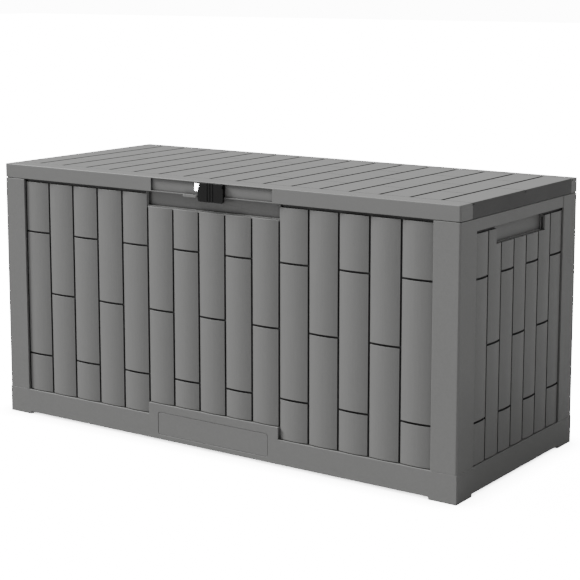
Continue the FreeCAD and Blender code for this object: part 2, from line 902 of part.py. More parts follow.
def latch_housing():
    """The black bracket that carries the lever's pin between two short ears."""
    half = latch_width / 2
    plate_face = pocket_back_y - latch_plate_thickness
    low = pocket_bottom_z + housing_margin
    high = pocket_top - fit_gap
    out_face = -half_depth - fit_gap
    ear_low = pivot_z - ear_length
    pieces = [box(latch_x - half, latch_x + half, plate_face - housing_back, plate_face, low, high)]
    for sign in (-1, 1):
        ear_out = half - ear_inset
        x0 = min(latch_x + sign * ear_out, latch_x + sign * (ear_out - ear_thickness))
        x1 = x0 + ear_thickness
        pieces.append(box(x0, x1, out_face - touch_overlap, plate_face, ear_low, high))
        pieces.append(box(x0, x1, -latch_front, out_face, ear_low, pivot_z))
        pieces.append(rod_x(latch_pivot_radius, x0, x1, pivot_y, pivot_z))
    housing = join(pieces)
    housing = housing.cut(rod_x(latch_pin_radius + run_gap, latch_x - half, latch_x + half, pivot_y, pivot_z))
    for point in latch_screw_points():
        housing = housing.cut(screw_hole(point, latch_screw_way, latch_screw_reach, small_screw_radius))
    return housing


def rounded_plate(x0, x1, y0, y1, z0, z1, low_radius, high_radius):
    """An upright plate with its four corners rounded as seen from the front."""
    plate = box(x0, x1, y0, y1, z0, z1)
    upright = [e for e in plate.Edges if e.BoundBox.YLength > (y1 - y0) / 2]
    lower = [e for e in upright if e.BoundBox.ZMin < (z0 + z1) / 2]
    plate = plate.makeFillet(low_radius, lower)
    upright = [e for e in plate.Edges if e.BoundBox.YLength > (y1 - y0) / 2]
    upper = [e for e in upright if e.BoundBox.ZMin > z1 - fit_gap]
    return plate.makeFillet(high_radius, upper)


def latch_lever():
    """The ribbed lever that swings on the pin between the ears, with a hook behind its foot."""
    half = latch_width / 2
    neck = half - ear_inset - ear_thickness - fit_gap
    y0 = -latch_front
    y1 = y0 + lever_thickness
    hook_low = lever_low + hook_lift
    lever = join([
        rounded_plate(latch_x - half, latch_x + half, y0, y1, lever_low, lever_shoulder,
                      latch_corner, latch_shoulder),
        box(latch_x - neck, latch_x + neck, y0, y1, lever_shoulder - touch_overlap, pivot_z),
        rod_x(latch_pivot_radius, latch_x - neck, latch_x + neck, pivot_y, pivot_z),
        box(latch_x - hook_half, latch_x + hook_half, y1 - touch_overlap, y1 + hook_reach,
            hook_low, hook_low + hook_thickness),
    ])
    for step in (-1, 0, 1):
        x = latch_x + step * latch_groove_pitch
        lever = lever.cut(box(x - latch_groove_width / 2, x + latch_groove_width / 2, y0 - 1,
                              y0 + latch_groove_depth, lever_low - 1, height + 1))
    return lever.cut(rod_x(latch_pin_radius + run_gap, latch_x - half, latch_x + half, pivot_y, pivot_z))


def latch_pin():
    """The pin through the ears and the lever."""
    half = latch_width / 2 - ear_inset
    return rod_x(latch_pin_radius, latch_x - half, latch_x + half, pivot_y, pivot_z)


catch_face = -half_depth + recess_depth
catch_screw_reach = recess_wall + catch_thickness - fit_gap
catch_high = wall_top - catch_margin
catch_low = lever_low - fit_gap - catch_thickness


def catch_screw_points():
    """Heads of the catch plate's screws, clear of the hook."""
    x = catch_half - small_head_radius - catch_thickness
    z = (catch_low + catch_thickness + catch_high) / 2
    return [FreeCAD.Vector(latch_x + s * x, catch_face - catch_thickness, z) for s in (-1, 1)]


def catch_plate():
    """The steel catch in the hand recess, an angle with a forward lip at its foot."""
    plate = join([
        box(latch_x - catch_half, latch_x + catch_half, catch_face - catch_thickness, catch_face,
            catch_low, catch_high),
        box(latch_x - catch_half, latch_x + catch_half, catch_face - catch_lip, catch_face,
            catch_low, catch_low + catch_thickness),
    ])
    for point in catch_screw_points():
        plate = plate.cut(screw_hole(point, latch_screw_way, catch_screw_reach, small_screw_radius))
    return plate


# The strut's two studs lie at the same distance from the lid hinge, so the strut turns
# by exactly half of the lid's angle. The cylinder is as long as the piston's travel needs.
stud_low_y = side_end - bracket_width / 2 - strut_post_margin
stud_low_z = hinge_z - math.sqrt(strut_radius ** 2 - (hinge_y - stud_low_y) ** 2)
stud_high_y = hinge_y - math.sqrt(strut_radius ** 2 - strut_stud_drop ** 2)
stud_high_z = hinge_z - strut_stud_drop
strut_length = math.hypot(stud_high_y - stud_low_y, stud_high_z - stud_low_z)
strut_turn = math.asin(strut_length / 2 / strut_radius) + math.radians(lid_open_angle) / 2
open_length = 2 * strut_radius * math.sin(strut_turn)
piston_travel = open_length - strut_length
cylinder_end = piston_start + piston_travel + piston_length + piston_spare + cylinder_cap
strut_x = half_length - strut_plane
strut_way = FreeCAD.Vector(0, (stud_high_y - stud_low_y) / strut_length,
                           (stud_high_z - stud_low_z) / strut_length)


def along_strut(distance):
    """A point on the right strut's centre line."""
    return FreeCAD.Vector(strut_x, stud_low_y, stud_low_z) + strut_way * distance


def strut_tube(radius, start, end):
    return Part.makeCylinder(radius, end - start, along_strut(start), strut_way)


def socket_disc(distance):
    """The flat end fitting of a strut."""
    point = along_strut(distance)
    return rod_x(socket_radius, strut_x - socket_thickness / 2, strut_x + socket_thickness / 2,
                 point.y, point.z)


def strut_cylinder():
    """The gas cylinder with its lower end fitting."""
    tube = join([
        strut_tube(cylinder_radius, cylinder_start, cylinder_end),
        strut_tube(socket_thickness / 2, socket_radius / 2, cylinder_start + 1),
        socket_disc(0),
    ])
    bore = strut_tube(cylinder_bore, cylinder_start + cylinder_cap, cylinder_end - cylinder_cap)
    gland = strut_tube(rod_radius + run_gap, cylinder_end - 2 * cylinder_cap, cylinder_end + 1)
    eye = rod_x(stud_radius + run_gap, strut_x - socket_thickness, strut_x + socket_thickness,
                stud_low_y, stud_low_z)
    return tube.cut(bore).cut(gland).cut(eye)


def strut_rod():
    """The piston, rod and upper end fitting."""
    return join([
        strut_tube(cylinder_bore - run_gap, piston_start, piston_start + piston_length),
        strut_tube(rod_radius, piston_start, strut_length - socket_radius / 2),
        socket_disc(strut_length),
    ])


def body_bracket_screw_points():
    """Heads of the screws of the strut's wall bracket."""
    x = half_length - wall_inner_face - bracket_plate
    reach = bracket_height / 2 - small_head_radius - bracket_plate
    return [FreeCAD.Vector(x, stud_low_y, stud_low_z + s * reach) for s in (-1, 1)]


right_way = FreeCAD.Vector(1, 0, 0)
wall_screw_reach = bracket_plate + wall_inner_face - side_groove_face


def strut_body_bracket():
    """The plate and stud that hold the cylinder's end to the side wall."""
    x1 = half_length - wall_inner_face
    x0 = x1 - bracket_plate
    clip = strut_x - socket_thickness / 2 - fit_gap
    bracket = join([
        box(x0, x1, stud_low_y - bracket_width / 2, stud_low_y + bracket_width / 2,
            stud_low_z - bracket_height / 2, stud_low_z + bracket_height / 2),
        rod_x(stud_radius, clip - clip_thickness, x0 + touch_overlap, stud_low_y, stud_low_z),
        rod_x(clip_radius, clip - clip_thickness, clip, stud_low_y, stud_low_z),
    ])
    for point in body_bracket_screw_points():
        bracket = bracket.cut(screw_hole(point, right_way, wall_screw_reach, small_screw_radius))
    return bracket


def lid_bracket_screw_points():
    """Heads of the screws of the strut's lid bracket."""
    x = strut_x - socket_thickness / 2
    z = shell_underside - liner_drop - bracket_plate
    reach = bracket_width / 2 - small_head_radius - bracket_plate
    return [FreeCAD.Vector(x, stud_high_y + s * reach, z) for s in (-1, 1)]


lid_bracket_reach = bracket_plate + liner_thickness - fit_gap


def strut_lid_bracket():
    """The angle and stud under the lid that the rod pushes on."""
    inner = strut_x - 2 * socket_thickness
    face = strut_x + socket_thickness / 2 + open_pivot_gap
    plate_x = face + socket_thickness / 2
    top = shell_underside - liner_drop
    bracket = join([
        box(plate_x, plate_x + bracket_plate, stud_high_y - bracket_width / 2, stud_high_y + bracket_width / 2,
            stud_high_z - clip_radius, top),
        box(inner, plate_x + bracket_plate, stud_high_y - bracket_width / 2, stud_high_y + bracket_width / 2,
            top - bracket_plate, top),
        rod_x(stud_radius, face, plate_x + touch_overlap, stud_high_y, stud_high_z),
    ])
    for point in lid_bracket_screw_points():
        bracket = bracket.cut(screw_hole(point, up, lid_bracket_reach, small_screw_radius))
    return bracket


def small_screws(points, way, reach):
    """A group of identical small screws."""
    return [screw_between(p, way, reach, small_screw_radius, small_head_radius, small_head_height)
            for p in points]


def cut_small(shape, points, way, reach):
    """Drill a group of small screws."""
    for point in points:
        shape = shape.cut(screw_hole(point, way, reach, small_screw_radius))
    return shape


def lap_screws():
    """All the screws down the lap strips."""
    screws = []
    for front, place in ((True, on_front), (False, on_back)):
        for sign in (-1, 1):
            for start, reach in lap_screws_of(sign, front):
                screw = screw_between(start, outward, reach, small_screw_radius, small_head_radius,
                                      small_head_height)
                screws.append(place(screw))
    return screws


def hinge_screws(lid):
    points = []
    for centre in hinge_places().values():
        points += hinge_screw_points(centre, lid)
    return small_screws(points, inward, hinge_screw_reach)


def both_sides(screws):
    """The group and its mirror image."""
    return screws + [mirror_x(screw) for screw in screws]


def build():
    """Every node of the box, by name."""
    nodes = {
        "base_frame": base_frame(),
        "floor_panel": floor_panel(),
        "badge_plate": badge_plate(),
    }
    front_centre = cut_small(on_front(centre_section(True)), catch_screw_points(), latch_screw_way,
                             catch_screw_reach)
    front_walls = {
        "front_panel_left": on_front(outer_section(-1, True)),
        "front_panel_centre": front_centre,
        "front_panel_right": on_front(outer_section(1, True)),
    }
    for name, wall in front_walls.items():
        nodes[name] = cut_foot_screws(wall, (on_front,))
    back_walls = {
        "back_panel_right": on_back(outer_section(-1, False)),
        "back_panel_centre": on_back(centre_section(False)),
        "back_panel_left": on_back(outer_section(1, False)),
    }
    for name, wall in back_walls.items():
        nodes[name] = cut_hinge_screws(cut_foot_screws(wall, (on_back,)), False)
    right = cut_foot_screws(on_right(side_section()), (on_right,))
    right = cut_small(right, body_bracket_screw_points(), right_way, wall_screw_reach)
    nodes["side_panel_right"] = right
    nodes["side_panel_left"] = mirror_x(right)
    post = corner_post()
    nodes["corner_post_front_right"] = post
    nodes["corner_post_front_left"] = mirror_x(post)
    nodes["corner_post_back_right"] = mirror_y(post)
    nodes["corner_post_back_left"] = mirror_x(mirror_y(post))
    nodes["handle_cup_right"] = on_right(handle_cup())
    nodes["handle_cup_left"] = on_left(handle_cup())
    nodes["foot_screws"] = Part.makeCompound([place(foot_screw(u, z)) for place, u, z in base_screw_places()])
    nodes["lap_screws"] = Part.makeCompound(lap_screws())
    nodes["lid_shell"] = lid_shell()
    lid_bracket = strut_lid_bracket()
    liner = lid_liner()
    left_points = [FreeCAD.Vector(-p.x, p.y, p.z) for p in lid_bracket_screw_points()]
    for points in (lid_bracket_screw_points(), left_points):
        liner = cut_small(liner, points, up, lid_bracket_reach)
    nodes["lid_liner"] = liner
    nodes["liner_screws"] = Part.makeCompound(
        small_screws(liner_screw_points(), up, liner_screw_reach - touch_overlap))
    for name, centre in hinge_places().items():
        nodes["hinge_body_leaf_" + name] = hinge_leaf(centre, False)
        nodes["hinge_lid_leaf_" + name] = hinge_leaf(centre, True)
        nodes["hinge_pin_" + name] = hinge_pin(centre)
    nodes["hinge_body_screws"] = Part.makeCompound(hinge_screws(False))
    nodes["hinge_lid_screws"] = Part.makeCompound(hinge_screws(True))
    nodes["latch_plate"] = latch_plate()
    nodes["latch_housing"] = latch_housing()
    nodes["latch_lever"] = latch_lever()
    nodes["latch_pin"] = latch_pin()
    nodes["latch_screws"] = Part.makeCompound(
        small_screws(latch_screw_points(), latch_screw_way, latch_screw_reach))
    nodes["catch_plate"] = catch_plate()
    nodes["catch_screws"] = Part.makeCompound(
        small_screws(catch_screw_points(), latch_screw_way, catch_screw_reach))
    strut = {
        "strut_cylinder": strut_cylinder(),
        "strut_rod": strut_rod(),
        "strut_body_bracket": strut_body_bracket(),
        "strut_lid_bracket": lid_bracket,
    }
    for name, shape in strut.items():
        nodes[name + "_right"] = shape
        nodes[name + "_left"] = mirror_x(shape)
    nodes["strut_body_screws"] = Part.makeCompound(both_sides(
        small_screws(body_bracket_screw_points(), right_way, wall_screw_reach)))
    nodes["strut_lid_screws"] = Part.makeCompound(both_sides(
        small_screws(lid_bracket_screw_points(), up, lid_bracket_reach)))
    return nodes


os.makedirs("parts", exist_ok=True)
made = build()
for node, shape in made.items():
    shape.exportStep("parts/" + node + ".step")
    print(node, len(shape.Solids), shape.isValid(), round(shape.Volume / 1000, 1), "cm3")
total = Part.makeCompound(list(made.values())).BoundBox
print("box", [round(v, 2) for v in (total.XMin, total.XMax, total.YMin, total.YMax, total.ZMin, total.ZMax)])
print("lid hinge", round(hinge_y, 3), round(hinge_z, 3))
print("latch pivot", round(pivot_y, 3), round(pivot_z, 3))
print("strut studs", [round(v, 3) for v in (strut_x, stud_low_y, stud_low_z, stud_high_y, stud_high_z)])
print("strut closed and open", round(strut_length, 3), round(open_length, 3))
print("strut way", round(strut_way.y, 6), round(strut_way.z, 6))
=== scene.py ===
# %% [markdown]
# # A deck storage box, finished in Blender
# The box is a kit of moulded resin panels: crowned boards on the walls, a planked lid, corner posts, a
# plinth, and a small black latch. Its shapes and joints come from the CAD frame, which is loaded here and
# never moved. This script gives every part the rounded edges, screw recesses and resin surface that the
# plain CAD parts lack. It is written as a lesson: each step is explained in a cell of its own, and then
# made in the next one.

# %% Load the frame
import bmesh
import bpy
import json
import math
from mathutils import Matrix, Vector


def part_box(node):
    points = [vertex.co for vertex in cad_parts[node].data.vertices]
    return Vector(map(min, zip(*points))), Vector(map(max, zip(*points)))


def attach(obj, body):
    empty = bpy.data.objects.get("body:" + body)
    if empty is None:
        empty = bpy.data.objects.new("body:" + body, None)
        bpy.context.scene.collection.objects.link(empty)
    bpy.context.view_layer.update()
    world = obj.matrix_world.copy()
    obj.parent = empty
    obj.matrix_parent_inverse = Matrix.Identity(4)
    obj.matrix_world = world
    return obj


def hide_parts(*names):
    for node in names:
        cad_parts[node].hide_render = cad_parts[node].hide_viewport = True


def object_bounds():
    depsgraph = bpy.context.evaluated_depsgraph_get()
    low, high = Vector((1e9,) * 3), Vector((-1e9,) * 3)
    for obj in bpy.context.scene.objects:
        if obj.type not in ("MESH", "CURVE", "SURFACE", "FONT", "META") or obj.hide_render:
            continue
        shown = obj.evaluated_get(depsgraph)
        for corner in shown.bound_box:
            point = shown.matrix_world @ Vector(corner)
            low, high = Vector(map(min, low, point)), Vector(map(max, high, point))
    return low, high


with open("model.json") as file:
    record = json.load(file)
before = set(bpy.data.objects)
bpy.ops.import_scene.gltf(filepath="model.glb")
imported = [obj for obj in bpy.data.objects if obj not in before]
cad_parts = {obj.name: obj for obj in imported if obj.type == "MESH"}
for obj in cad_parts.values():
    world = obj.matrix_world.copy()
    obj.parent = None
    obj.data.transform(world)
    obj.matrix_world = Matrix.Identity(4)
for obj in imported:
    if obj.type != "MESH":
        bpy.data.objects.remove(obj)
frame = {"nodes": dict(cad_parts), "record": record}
cad_low, cad_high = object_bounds()
nodes = frame["nodes"]
body_of_node = {n: b for b, names in frame["record"]["behaviour"]["bodies"].items() for n in names}
MM = 0.001
print("parts in the frame:", len(nodes), "box:", [round(v, 3) for v in cad_high - cad_low])

# %% [markdown]
# ## Stage
# The camera stands to the front right of the box, a little above its lid, as for a catalogue picture. A
# long lens keeps the perspective calm. Its tilt is small, and a little vertical shift does the rest, so
# that the box's upright edges stay nearly upright.

# %% Camera
CAMERA_TURN = math.radians(34.86)
CAMERA_TILT = math.radians(8.64)
CAMERA_PLACE = Vector((2.004, -2.841, 1.016))
LENS = 97.07
VERTICAL_SHIFT = -0.1293

camera_data = bpy.data.cameras.new("camera")
camera_data.lens = LENS
camera_data.shift_y = VERTICAL_SHIFT
camera = bpy.data.objects.new("camera", camera_data)
camera.location = CAMERA_PLACE
camera.rotation_euler = (math.pi / 2 - CAMERA_TILT, 0, CAMERA_TURN)
bpy.context.scene.collection.objects.link(camera)
bpy.context.scene.camera = camera
print("camera", [round(v, 3) for v in camera.location])

# %% [markdown]
# A product picture has one broad, soft key light and an even, pale room. The key stands high on the left
# and only grazes the front, so every crowned board is bright on its left and dark on its right, and the
# lid is the brightest face. The right end gets no key at all, only the room's light, so it stays the
# darkest.

# %% Key light
KEY_WAY = Vector((-0.762, -0.209, 0.613))
KEY_STRENGTH = 6.4
KEY_SOFTNESS = math.radians(24)

key_data = bpy.data.lights.new("key", "SUN")
key_data.energy = KEY_STRENGTH
key_data.angle = KEY_SOFTNESS
key = bpy.data.objects.new("key", key_data)
key.rotation_euler = KEY_WAY.to_track_quat("Z", "Y").to_euler()
bpy.context.scene.collection.objects.link(key)
print("key light from", [round(v, 2) for v in KEY_WAY])

# %% [markdown]
# The room itself lights the box evenly from all sides. The camera sees it as a white backdrop, much
# brighter than the light it gives, as a lit studio wall looks behind a darker object.

# %% Room light and backdrop
ROOM_LIGHT = 0.585
BACKDROP_LIGHT = 16.0

world = bpy.data.worlds.new("studio")
world.use_nodes = True
room_tree = world.node_tree
room = room_tree.nodes["Background"]
room.inputs["Color"].default_value = (1.0, 1.0, 1.0, 1.0)
room.inputs["Strength"].default_value = ROOM_LIGHT
backdrop = room_tree.nodes.new("ShaderNodeBackground")
backdrop.inputs["Strength"].default_value = BACKDROP_LIGHT
ray = room_tree.nodes.new("ShaderNodeLightPath")
either = room_tree.nodes.new("ShaderNodeMixShader")
room_tree.links.new(ray.outputs["Is Camera Ray"], either.inputs[0])
room_tree.links.new(room.outputs[0], either.inputs[1])
room_tree.links.new(backdrop.outputs[0], either.inputs[2])
room_tree.links.new(either.outputs[0], room_tree.nodes["World Output"].inputs["Surface"])
bpy.context.scene.world = world
print("room", ROOM_LIGHT, "backdrop", BACKDROP_LIGHT)

# %% [markdown]
# The floor is one large plane of the same pale room. Beside it hangs a small white card, which only
# mirrors see: a photographer puts such a card where polished metal would otherwise reflect nothing but
# the dull room.

# %% Floor and card
def flat_square(name, half):
    bm = bmesh.new()
    bmesh.ops.create_grid(bm, x_segments=1, y_segments=1, size=half)
    mesh = bpy.data.meshes.new(name)
    bm.to_mesh(mesh)
    bm.free()
    square = bpy.data.objects.new(name, mesh)
    bpy.context.scene.collection.objects.link(square)
    return square


FLOOR_HALF = 30.0
CARD_HALF = 0.14
CARD_DISTANCE = 2.6

floor = flat_square("floor", FLOOR_HALF)
card = flat_square("mirror_card", CARD_HALF)
plate_low, plate_high = (Vector(corner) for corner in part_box("latch_plate"))
plate_middle = (plate_low + plate_high) / 2
seen = (plate_middle - CAMERA_PLACE).normalized()
mirrored = Vector((seen.x, -seen.y, seen.z))
card.location = plate_middle + mirrored * CARD_DISTANCE
card.rotation_euler = (-mirrored).to_track_quat("Z", "Y").to_euler()
card.visible_camera = False
card.visible_diffuse = False
card.visible_shadow = False
print("card at", [round(v, 2) for v in card.location])

# %% [markdown]
# ## Materials
# Moulded resin looks flat until it is seen close: it has a fine spark-eroded texture from the mould, a
# faint grain pressed along each board, edges rubbed a shade lighter, and grooves darkened by dust and
# painted shade.
# Those effects are shared by several finishes, so each one is a node group with its own inputs, built
# once and placed wherever it is needed. A group puts out only masks, colours or heights; the shader
# itself stays in the material.

# %% Small helpers for node trees
def add(tree, kind, **settings):
    node = tree.nodes.new(kind)
    for name, value in settings.items():
        setattr(node, name, value)
    return node


def wire(tree, source, target):
    tree.links.new(source, target)


def new_group(name, inputs, outputs):
    group = bpy.data.node_groups.new(name, "ShaderNodeTree")
    for label, kind, value in inputs:
        socket = group.interface.new_socket(label, in_out="INPUT", socket_type=kind)
        socket.default_value = value
    for label, kind in outputs:
        group.interface.new_socket(label, in_out="OUTPUT", socket_type=kind)
    return group, add(group, "NodeGroupInput"), add(group, "NodeGroupOutput")


def math_node(tree, operation, first, second):
    node = add(tree, "ShaderNodeMath", operation=operation)
    for socket, value in zip(node.inputs, (first, second)):
        if isinstance(value, (int, float)):
            socket.default_value = value
        else:
            wire(tree, value, socket)
    return node.outputs[0]


# %% [markdown]
# Edge wear: the Bevel node gives the normal that a rounded edge would have. Where it differs from the
# true normal there is an edge, so their dot product makes a mask. Noise breaks the mask up, since wear is
# never even.

# %% Edge wear group
WEAR_CONTRAST = 6.0


def make_edge_wear():
    group, given, result = new_group(
        "edge_wear",
        [("Radius", "NodeSocketFloat", 0.002), ("Patchiness", "NodeSocketFloat", 60.0)],
        [("Mask", "NodeSocketFloat")])
    rounded = add(group, "ShaderNodeBevel", samples=4)
    true_normal = add(group, "ShaderNodeNewGeometry")
    dot = add(group, "ShaderNodeVectorMath", operation="DOT_PRODUCT")
    place = add(group, "ShaderNodeTexCoord")
    noise = add(group, "ShaderNodeTexNoise")
    wire(group, given.outputs["Radius"], rounded.inputs["Radius"])
    wire(group, rounded.outputs["Normal"], dot.inputs[0])
    wire(group, true_normal.outputs["Normal"], dot.inputs[1])
    wire(group, place.outputs["Object"], noise.inputs["Vector"])
    wire(group, given.outputs["Patchiness"], noise.inputs["Scale"])
    turned = math_node(group, "SUBTRACT", 1.0, dot.outputs["Value"])
    strong = math_node(group, "MULTIPLY", turned, WEAR_CONTRAST)
    patchy = math_node(group, "MULTIPLY", strong, noise.outputs["Fac"])
    limited = add(group, "ShaderNodeClamp")
    wire(group, patchy, limited.inputs["Value"])
    wire(group, limited.outputs[0], result.inputs["Mask"])
    return group


edge_wear = make_edge_wear()
print("group", edge_wear.name)

# %% [markdown]
# Painted shade in the grooves: ambient occlusion measures how closed-in a point is. The grooves between
# the boards and the joint under the lid are painted dark by it, where shade would fall in them.

# %% Groove shade group
def make_groove_shade():
    group, given, result = new_group(
        "groove_shade",
        [("Reach", "NodeSocketFloat", 0.012), ("Strength", "NodeSocketFloat", 1.5)],
        [("Mask", "NodeSocketFloat")])
    closed = add(group, "ShaderNodeAmbientOcclusion", samples=6, only_local=True)
    wire(group, given.outputs["Reach"], closed.inputs["Distance"])
    hidden = math_node(group, "SUBTRACT", 1.0, closed.outputs["AO"])
    strong = math_node(group, "MULTIPLY", hidden, given.outputs["Strength"])
    limited = add(group, "ShaderNodeClamp")
    wire(group, strong, limited.inputs["Value"])
    wire(group, limited.outputs[0], result.inputs["Mask"])
    return group


groove_shade = make_groove_shade()
print("group", groove_shade.name)

# %% [markdown]
# Board grain: noise that is stretched along the board, so it reads as fine streaks. The stretch is an
# input, since the walls' boards run up and the lid's planks run from front to back. A second, very fine
# noise is the mould's own texture. Both come out as one height for the bump, and the streaks also as a
# tone.

# %% Board grain group
FINE_SHARE = 0.35


def make_board_grain():
    group, given, result = new_group(
        "board_grain",
        [("Stretch", "NodeSocketVector", (1.0, 1.0, 1.0)), ("Streak Scale", "NodeSocketFloat", 420.0),
         ("Texture Scale", "NodeSocketFloat", 1800.0)],
        [("Tone", "NodeSocketFloat"), ("Height", "NodeSocketFloat"), ("Cloud", "NodeSocketFloat")])
    place = add(group, "ShaderNodeTexCoord")
    stretched = add(group, "ShaderNodeVectorMath", operation="MULTIPLY")
    streaks = add(group, "ShaderNodeTexNoise")
    streaks.inputs["Detail"].default_value = 3.0
    fine = add(group, "ShaderNodeTexNoise")
    cloud = add(group, "ShaderNodeTexNoise")
    cloud.inputs["Scale"].default_value = 5.0
    cloud.inputs["Detail"].default_value = 4.0
    wire(group, place.outputs["Object"], stretched.inputs[0])
    wire(group, given.outputs["Stretch"], stretched.inputs[1])
    wire(group, stretched.outputs[0], streaks.inputs["Vector"])
    wire(group, given.outputs["Streak Scale"], streaks.inputs["Scale"])
    wire(group, place.outputs["Object"], fine.inputs["Vector"])
    wire(group, given.outputs["Texture Scale"], fine.inputs["Scale"])
    wire(group, place.outputs["Object"], cloud.inputs["Vector"])
    quiet = math_node(group, "MULTIPLY", fine.outputs["Fac"], FINE_SHARE)
    height = math_node(group, "ADD", streaks.outputs["Fac"], quiet)
    wire(group, streaks.outputs["Fac"], result.inputs["Tone"])
    wire(group, height, result.inputs["Height"])
    wire(group, cloud.outputs["Fac"], result.inputs["Cloud"])
    return group


board_grain = make_board_grain()
print("group", board_grain.name)

# %% [markdown]
# Dirt beside the lid's grooves: rain washes it out of a groove and leaves it as a thin dark line along
# each plank's edge, so the grooves look wider than they are. The distance to the nearest groove comes
# from the plank pitch, and noise frays the line. It stops where the grooves stop.

# %% Plank dirt group
PLANK_PITCH = 70.9 * MM
PLANK_GROOVE_HALF = 2.75 * MM
PLANK_FRONT = -213.5 * MM
PLANK_BACK = 230.0 * MM
DIRT_DENSITY = 0.75


def make_plank_dirt():
    group, given, result = new_group(
        "plank_dirt", [("Reach", "NodeSocketFloat", 0.0022)], [("Mask", "NodeSocketFloat")])
    place = add(group, "ShaderNodeTexCoord")
    parts = add(group, "ShaderNodeSeparateXYZ")
    fray = add(group, "ShaderNodeTexNoise")
    fray.inputs["Scale"].default_value = 90.0
    wire(group, place.outputs["Object"], parts.inputs[0])
    wire(group, place.outputs["Object"], fray.inputs["Vector"])
    turns = math_node(group, "DIVIDE", parts.outputs["X"], PLANK_PITCH)
    off = math_node(group, "SUBTRACT", math_node(group, "FRACT", turns, 0.0), 0.5)
    distance = math_node(group, "MULTIPLY", math_node(group, "ABSOLUTE", off, 0.0), PLANK_PITCH)
    beyond = math_node(group, "SUBTRACT", distance, PLANK_GROOVE_HALF)
    share = math_node(group, "DIVIDE", beyond, given.outputs["Reach"])
    painted_floor_shade = math_node(group, "SUBTRACT", math_node(group, "ADD", fray.outputs["Fac"], DIRT_DENSITY), share)
    limited = add(group, "ShaderNodeClamp")
    wire(group, painted_floor_shade, limited.inputs["Value"])
    behind = math_node(group, "GREATER_THAN", parts.outputs["Y"], PLANK_FRONT)
    ahead = math_node(group, "LESS_THAN", parts.outputs["Y"], PLANK_BACK)
    mask = math_node(group, "MULTIPLY", limited.outputs[0], math_node(group, "MULTIPLY", behind, ahead))
    wire(group, mask, result.inputs["Mask"])
    return group


plank_dirt = make_plank_dirt()
print("group", plank_dirt.name)

# %% [markdown]
# Resin: the three masks are mixed into one grey. The tone wanders a few percent with the grain and the
# cloud, edges go lighter, and grooves are painted nearly black with dirt and painted shade. Roughness
# follows the cloud, so highlights break up the way they do on a weathered moulding.

# %% Resin
def blend_colour(tree, mask, first, second, strength=1.0):
    """Mixes from first to second by a mask."""
    mix = add(tree, "ShaderNodeMix", data_type="RGBA")
    wire(tree, math_node(tree, "MULTIPLY", mask, strength), mix.inputs["Factor"])
    for socket, value in ((mix.inputs[6], first), (mix.inputs[7], second)):
        if isinstance(value, tuple):
            socket.default_value = (*value, 1.0)
        else:
            wire(tree, value, socket)
    return mix.outputs[2]


def spread(tree, value, low, high, low_to, high_to):
    """Stretches a range of values to another."""
    node = add(tree, "ShaderNodeMapRange")
    wire(tree, value, node.inputs["Value"])
    for name, number in (("From Min", low), ("From Max", high), ("To Min", low_to), ("To Max", high_to)):
        node.inputs[name].default_value = number
    return node.outputs["Result"]


def new_material(name):
    material = bpy.data.materials.new(name)
    material.use_nodes = True
    return material, material.node_tree, material.node_tree.nodes["Principled BSDF"]


RESIN_GREY = (0.165, 0.165, 0.162)
# Dirt and painted shade: the next two greys colour the marked groove faces of the walls and the lid.
DIRT_AND_SHADE_GREY = (0.035, 0.035, 0.034)
LID_DIRT_AND_SHADE_GREY = (0.014, 0.014, 0.0135)
PLANK_DIRT = 0.75
# Painted shade: the colour that the occlusion mask paints into grooves and hollows.
GROOVE_DARK = (0.012, 0.012, 0.012)


def make_resin(name, colour, dark, light, stretch, dirt_and_shade_colour=DIRT_AND_SHADE_GREY, groove=1.3, bump=0.05,
               rough=(0.44, 0.54), wear=0.35, shine=0.35, planks=False):
    material, tree, shader = new_material(name)
    grain = add(tree, "ShaderNodeGroup", node_tree=board_grain)
    grain.inputs["Stretch"].default_value = stretch
    worn = add(tree, "ShaderNodeGroup", node_tree=edge_wear)
    shade = add(tree, "ShaderNodeGroup", node_tree=groove_shade)
    shade.inputs["Strength"].default_value = groove
    streak = spread(tree, grain.outputs["Tone"], 0.35, 0.65, 0.0, 1.0)
    cloudy = spread(tree, grain.outputs["Cloud"], 0.3, 0.7, 0.0, 1.0)
    paler = tuple(min(1.0, c * 1.025) for c in colour)
    darker = tuple(c * 0.98 for c in colour)
    base = blend_colour(tree, streak, darker, paler)
    clouded = blend_colour(tree, cloudy, base, paler, 0.35)
    edged = blend_colour(tree, worn.outputs["Mask"], clouded, light, wear)
    dirt_and_shade = add(tree, "ShaderNodeAttribute", attribute_name="dirt_and_shade")
    if planks:
        lines = add(tree, "ShaderNodeGroup", node_tree=plank_dirt)
        edged = blend_colour(tree, lines.outputs["Mask"], edged, dirt_and_shade_colour, PLANK_DIRT)
    # Dirt and painted shade: the marked groove faces are painted with their dark grey.
    with_dirt_and_shade = blend_colour(tree, dirt_and_shade.outputs["Fac"], edged, dirt_and_shade_colour)
    # Painted shade: the occlusion mask darkens the hollows towards the dark colour.
    shaded_colour = blend_colour(tree, shade.outputs["Mask"], with_dirt_and_shade, dark)
    wire(tree, shaded_colour, shader.inputs["Base Color"])
    wire(tree, spread(tree, grain.outputs["Cloud"], 0.3, 0.7, *rough), shader.inputs["Roughness"])
    raised = add(tree, "ShaderNodeBump")
    raised.inputs["Strength"].default_value = bump
    raised.inputs["Distance"].default_value = 0.0006
    wire(tree, grain.outputs["Height"], raised.inputs["Height"])
    wire(tree, raised.outputs["Normal"], shader.inputs["Normal"])
    shader.inputs["Specular IOR Level"].default_value = shine
    return material


WORN_GREY = (0.24, 0.24, 0.236)
LATCH_BLACK = (0.009, 0.009, 0.0088)
# Painted shade for the latch's hollows, laid on by the occlusion mask.
LATCH_DARK = (0.004, 0.004, 0.004)
LATCH_WORN = (0.05, 0.05, 0.05)
ALONG_Z = (1.0, 1.0, 0.03)
ALONG_Y = (1.0, 0.03, 1.0)
EVEN = (0.5, 0.5, 0.5)

